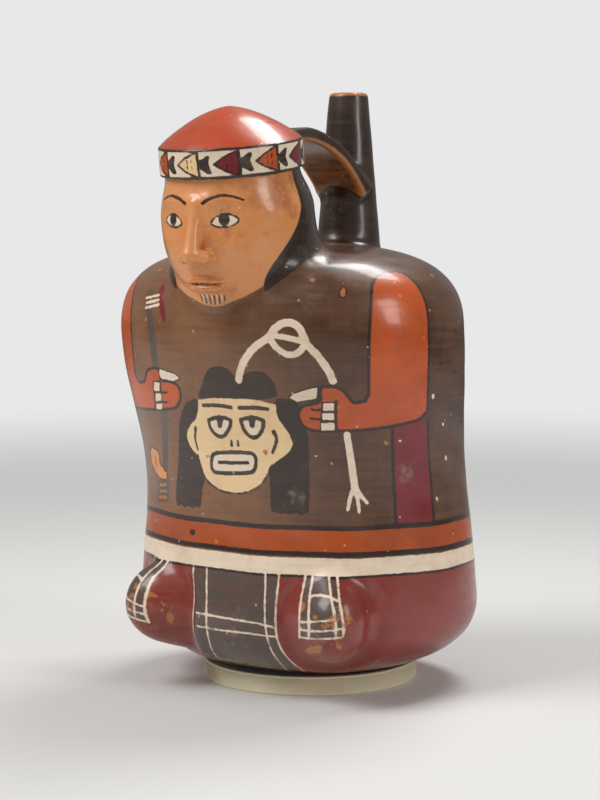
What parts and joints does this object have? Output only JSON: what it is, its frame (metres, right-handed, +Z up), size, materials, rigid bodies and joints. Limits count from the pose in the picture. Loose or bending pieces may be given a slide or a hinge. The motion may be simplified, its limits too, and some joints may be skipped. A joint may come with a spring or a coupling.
{
  "type": "effigy spout bottle",
  "caption": "Hollow clay effigy bottle: a seated figure with cap and headband, a strap bridge to a tapered spout, standing on a padded display ring. Holds and pours liquid.",
  "frame": {"origin": "on the table under the middle of the object's width and depth", "axes": "+Z up, figure faces -Y, its left hand is towards +X"},
  "size_m": [0.166, 0.1766, 0.281],
  "materials": {
    "umber_slip": "burnished brown slip",
    "maroon_slip": "burnished dark red slip",
    "flesh_slip": "burnished orange-tan slip",
    "red_slip": "burnished red slip",
    "cream_slip": "cream slip with painted motifs",
    "hair_slip": "burnished near-black slip",
    "bone_paint": "pale satin paint",
    "black_felt": "black felt"
  },
  "bodies": {
    "stand": {"base_ring": "bone_paint", "felt_pad": "black_felt"},
    "vessel": {"base_bowl": "maroon_slip", "torso_wall": "umber_slip", "shoulder_dome": "umber_slip", "left_knee": "maroon_slip", "right_knee": "maroon_slip", "face_shell": "flesh_slip", "nose": "flesh_slip", "cap_dome": "red_slip", "headband": "cream_slip", "nape_hair": "hair_slip", "spout": "hair_slip", "spout_collar": "hair_slip", "bridge_strap": "hair_slip"}
  },
  "joints": [
    {"name": "vessel_lift", "type": "slide", "parent": "stand", "child": "vessel", "axis": [0, 0, 1], "range_m": [0, 0.06]}
  ]
}
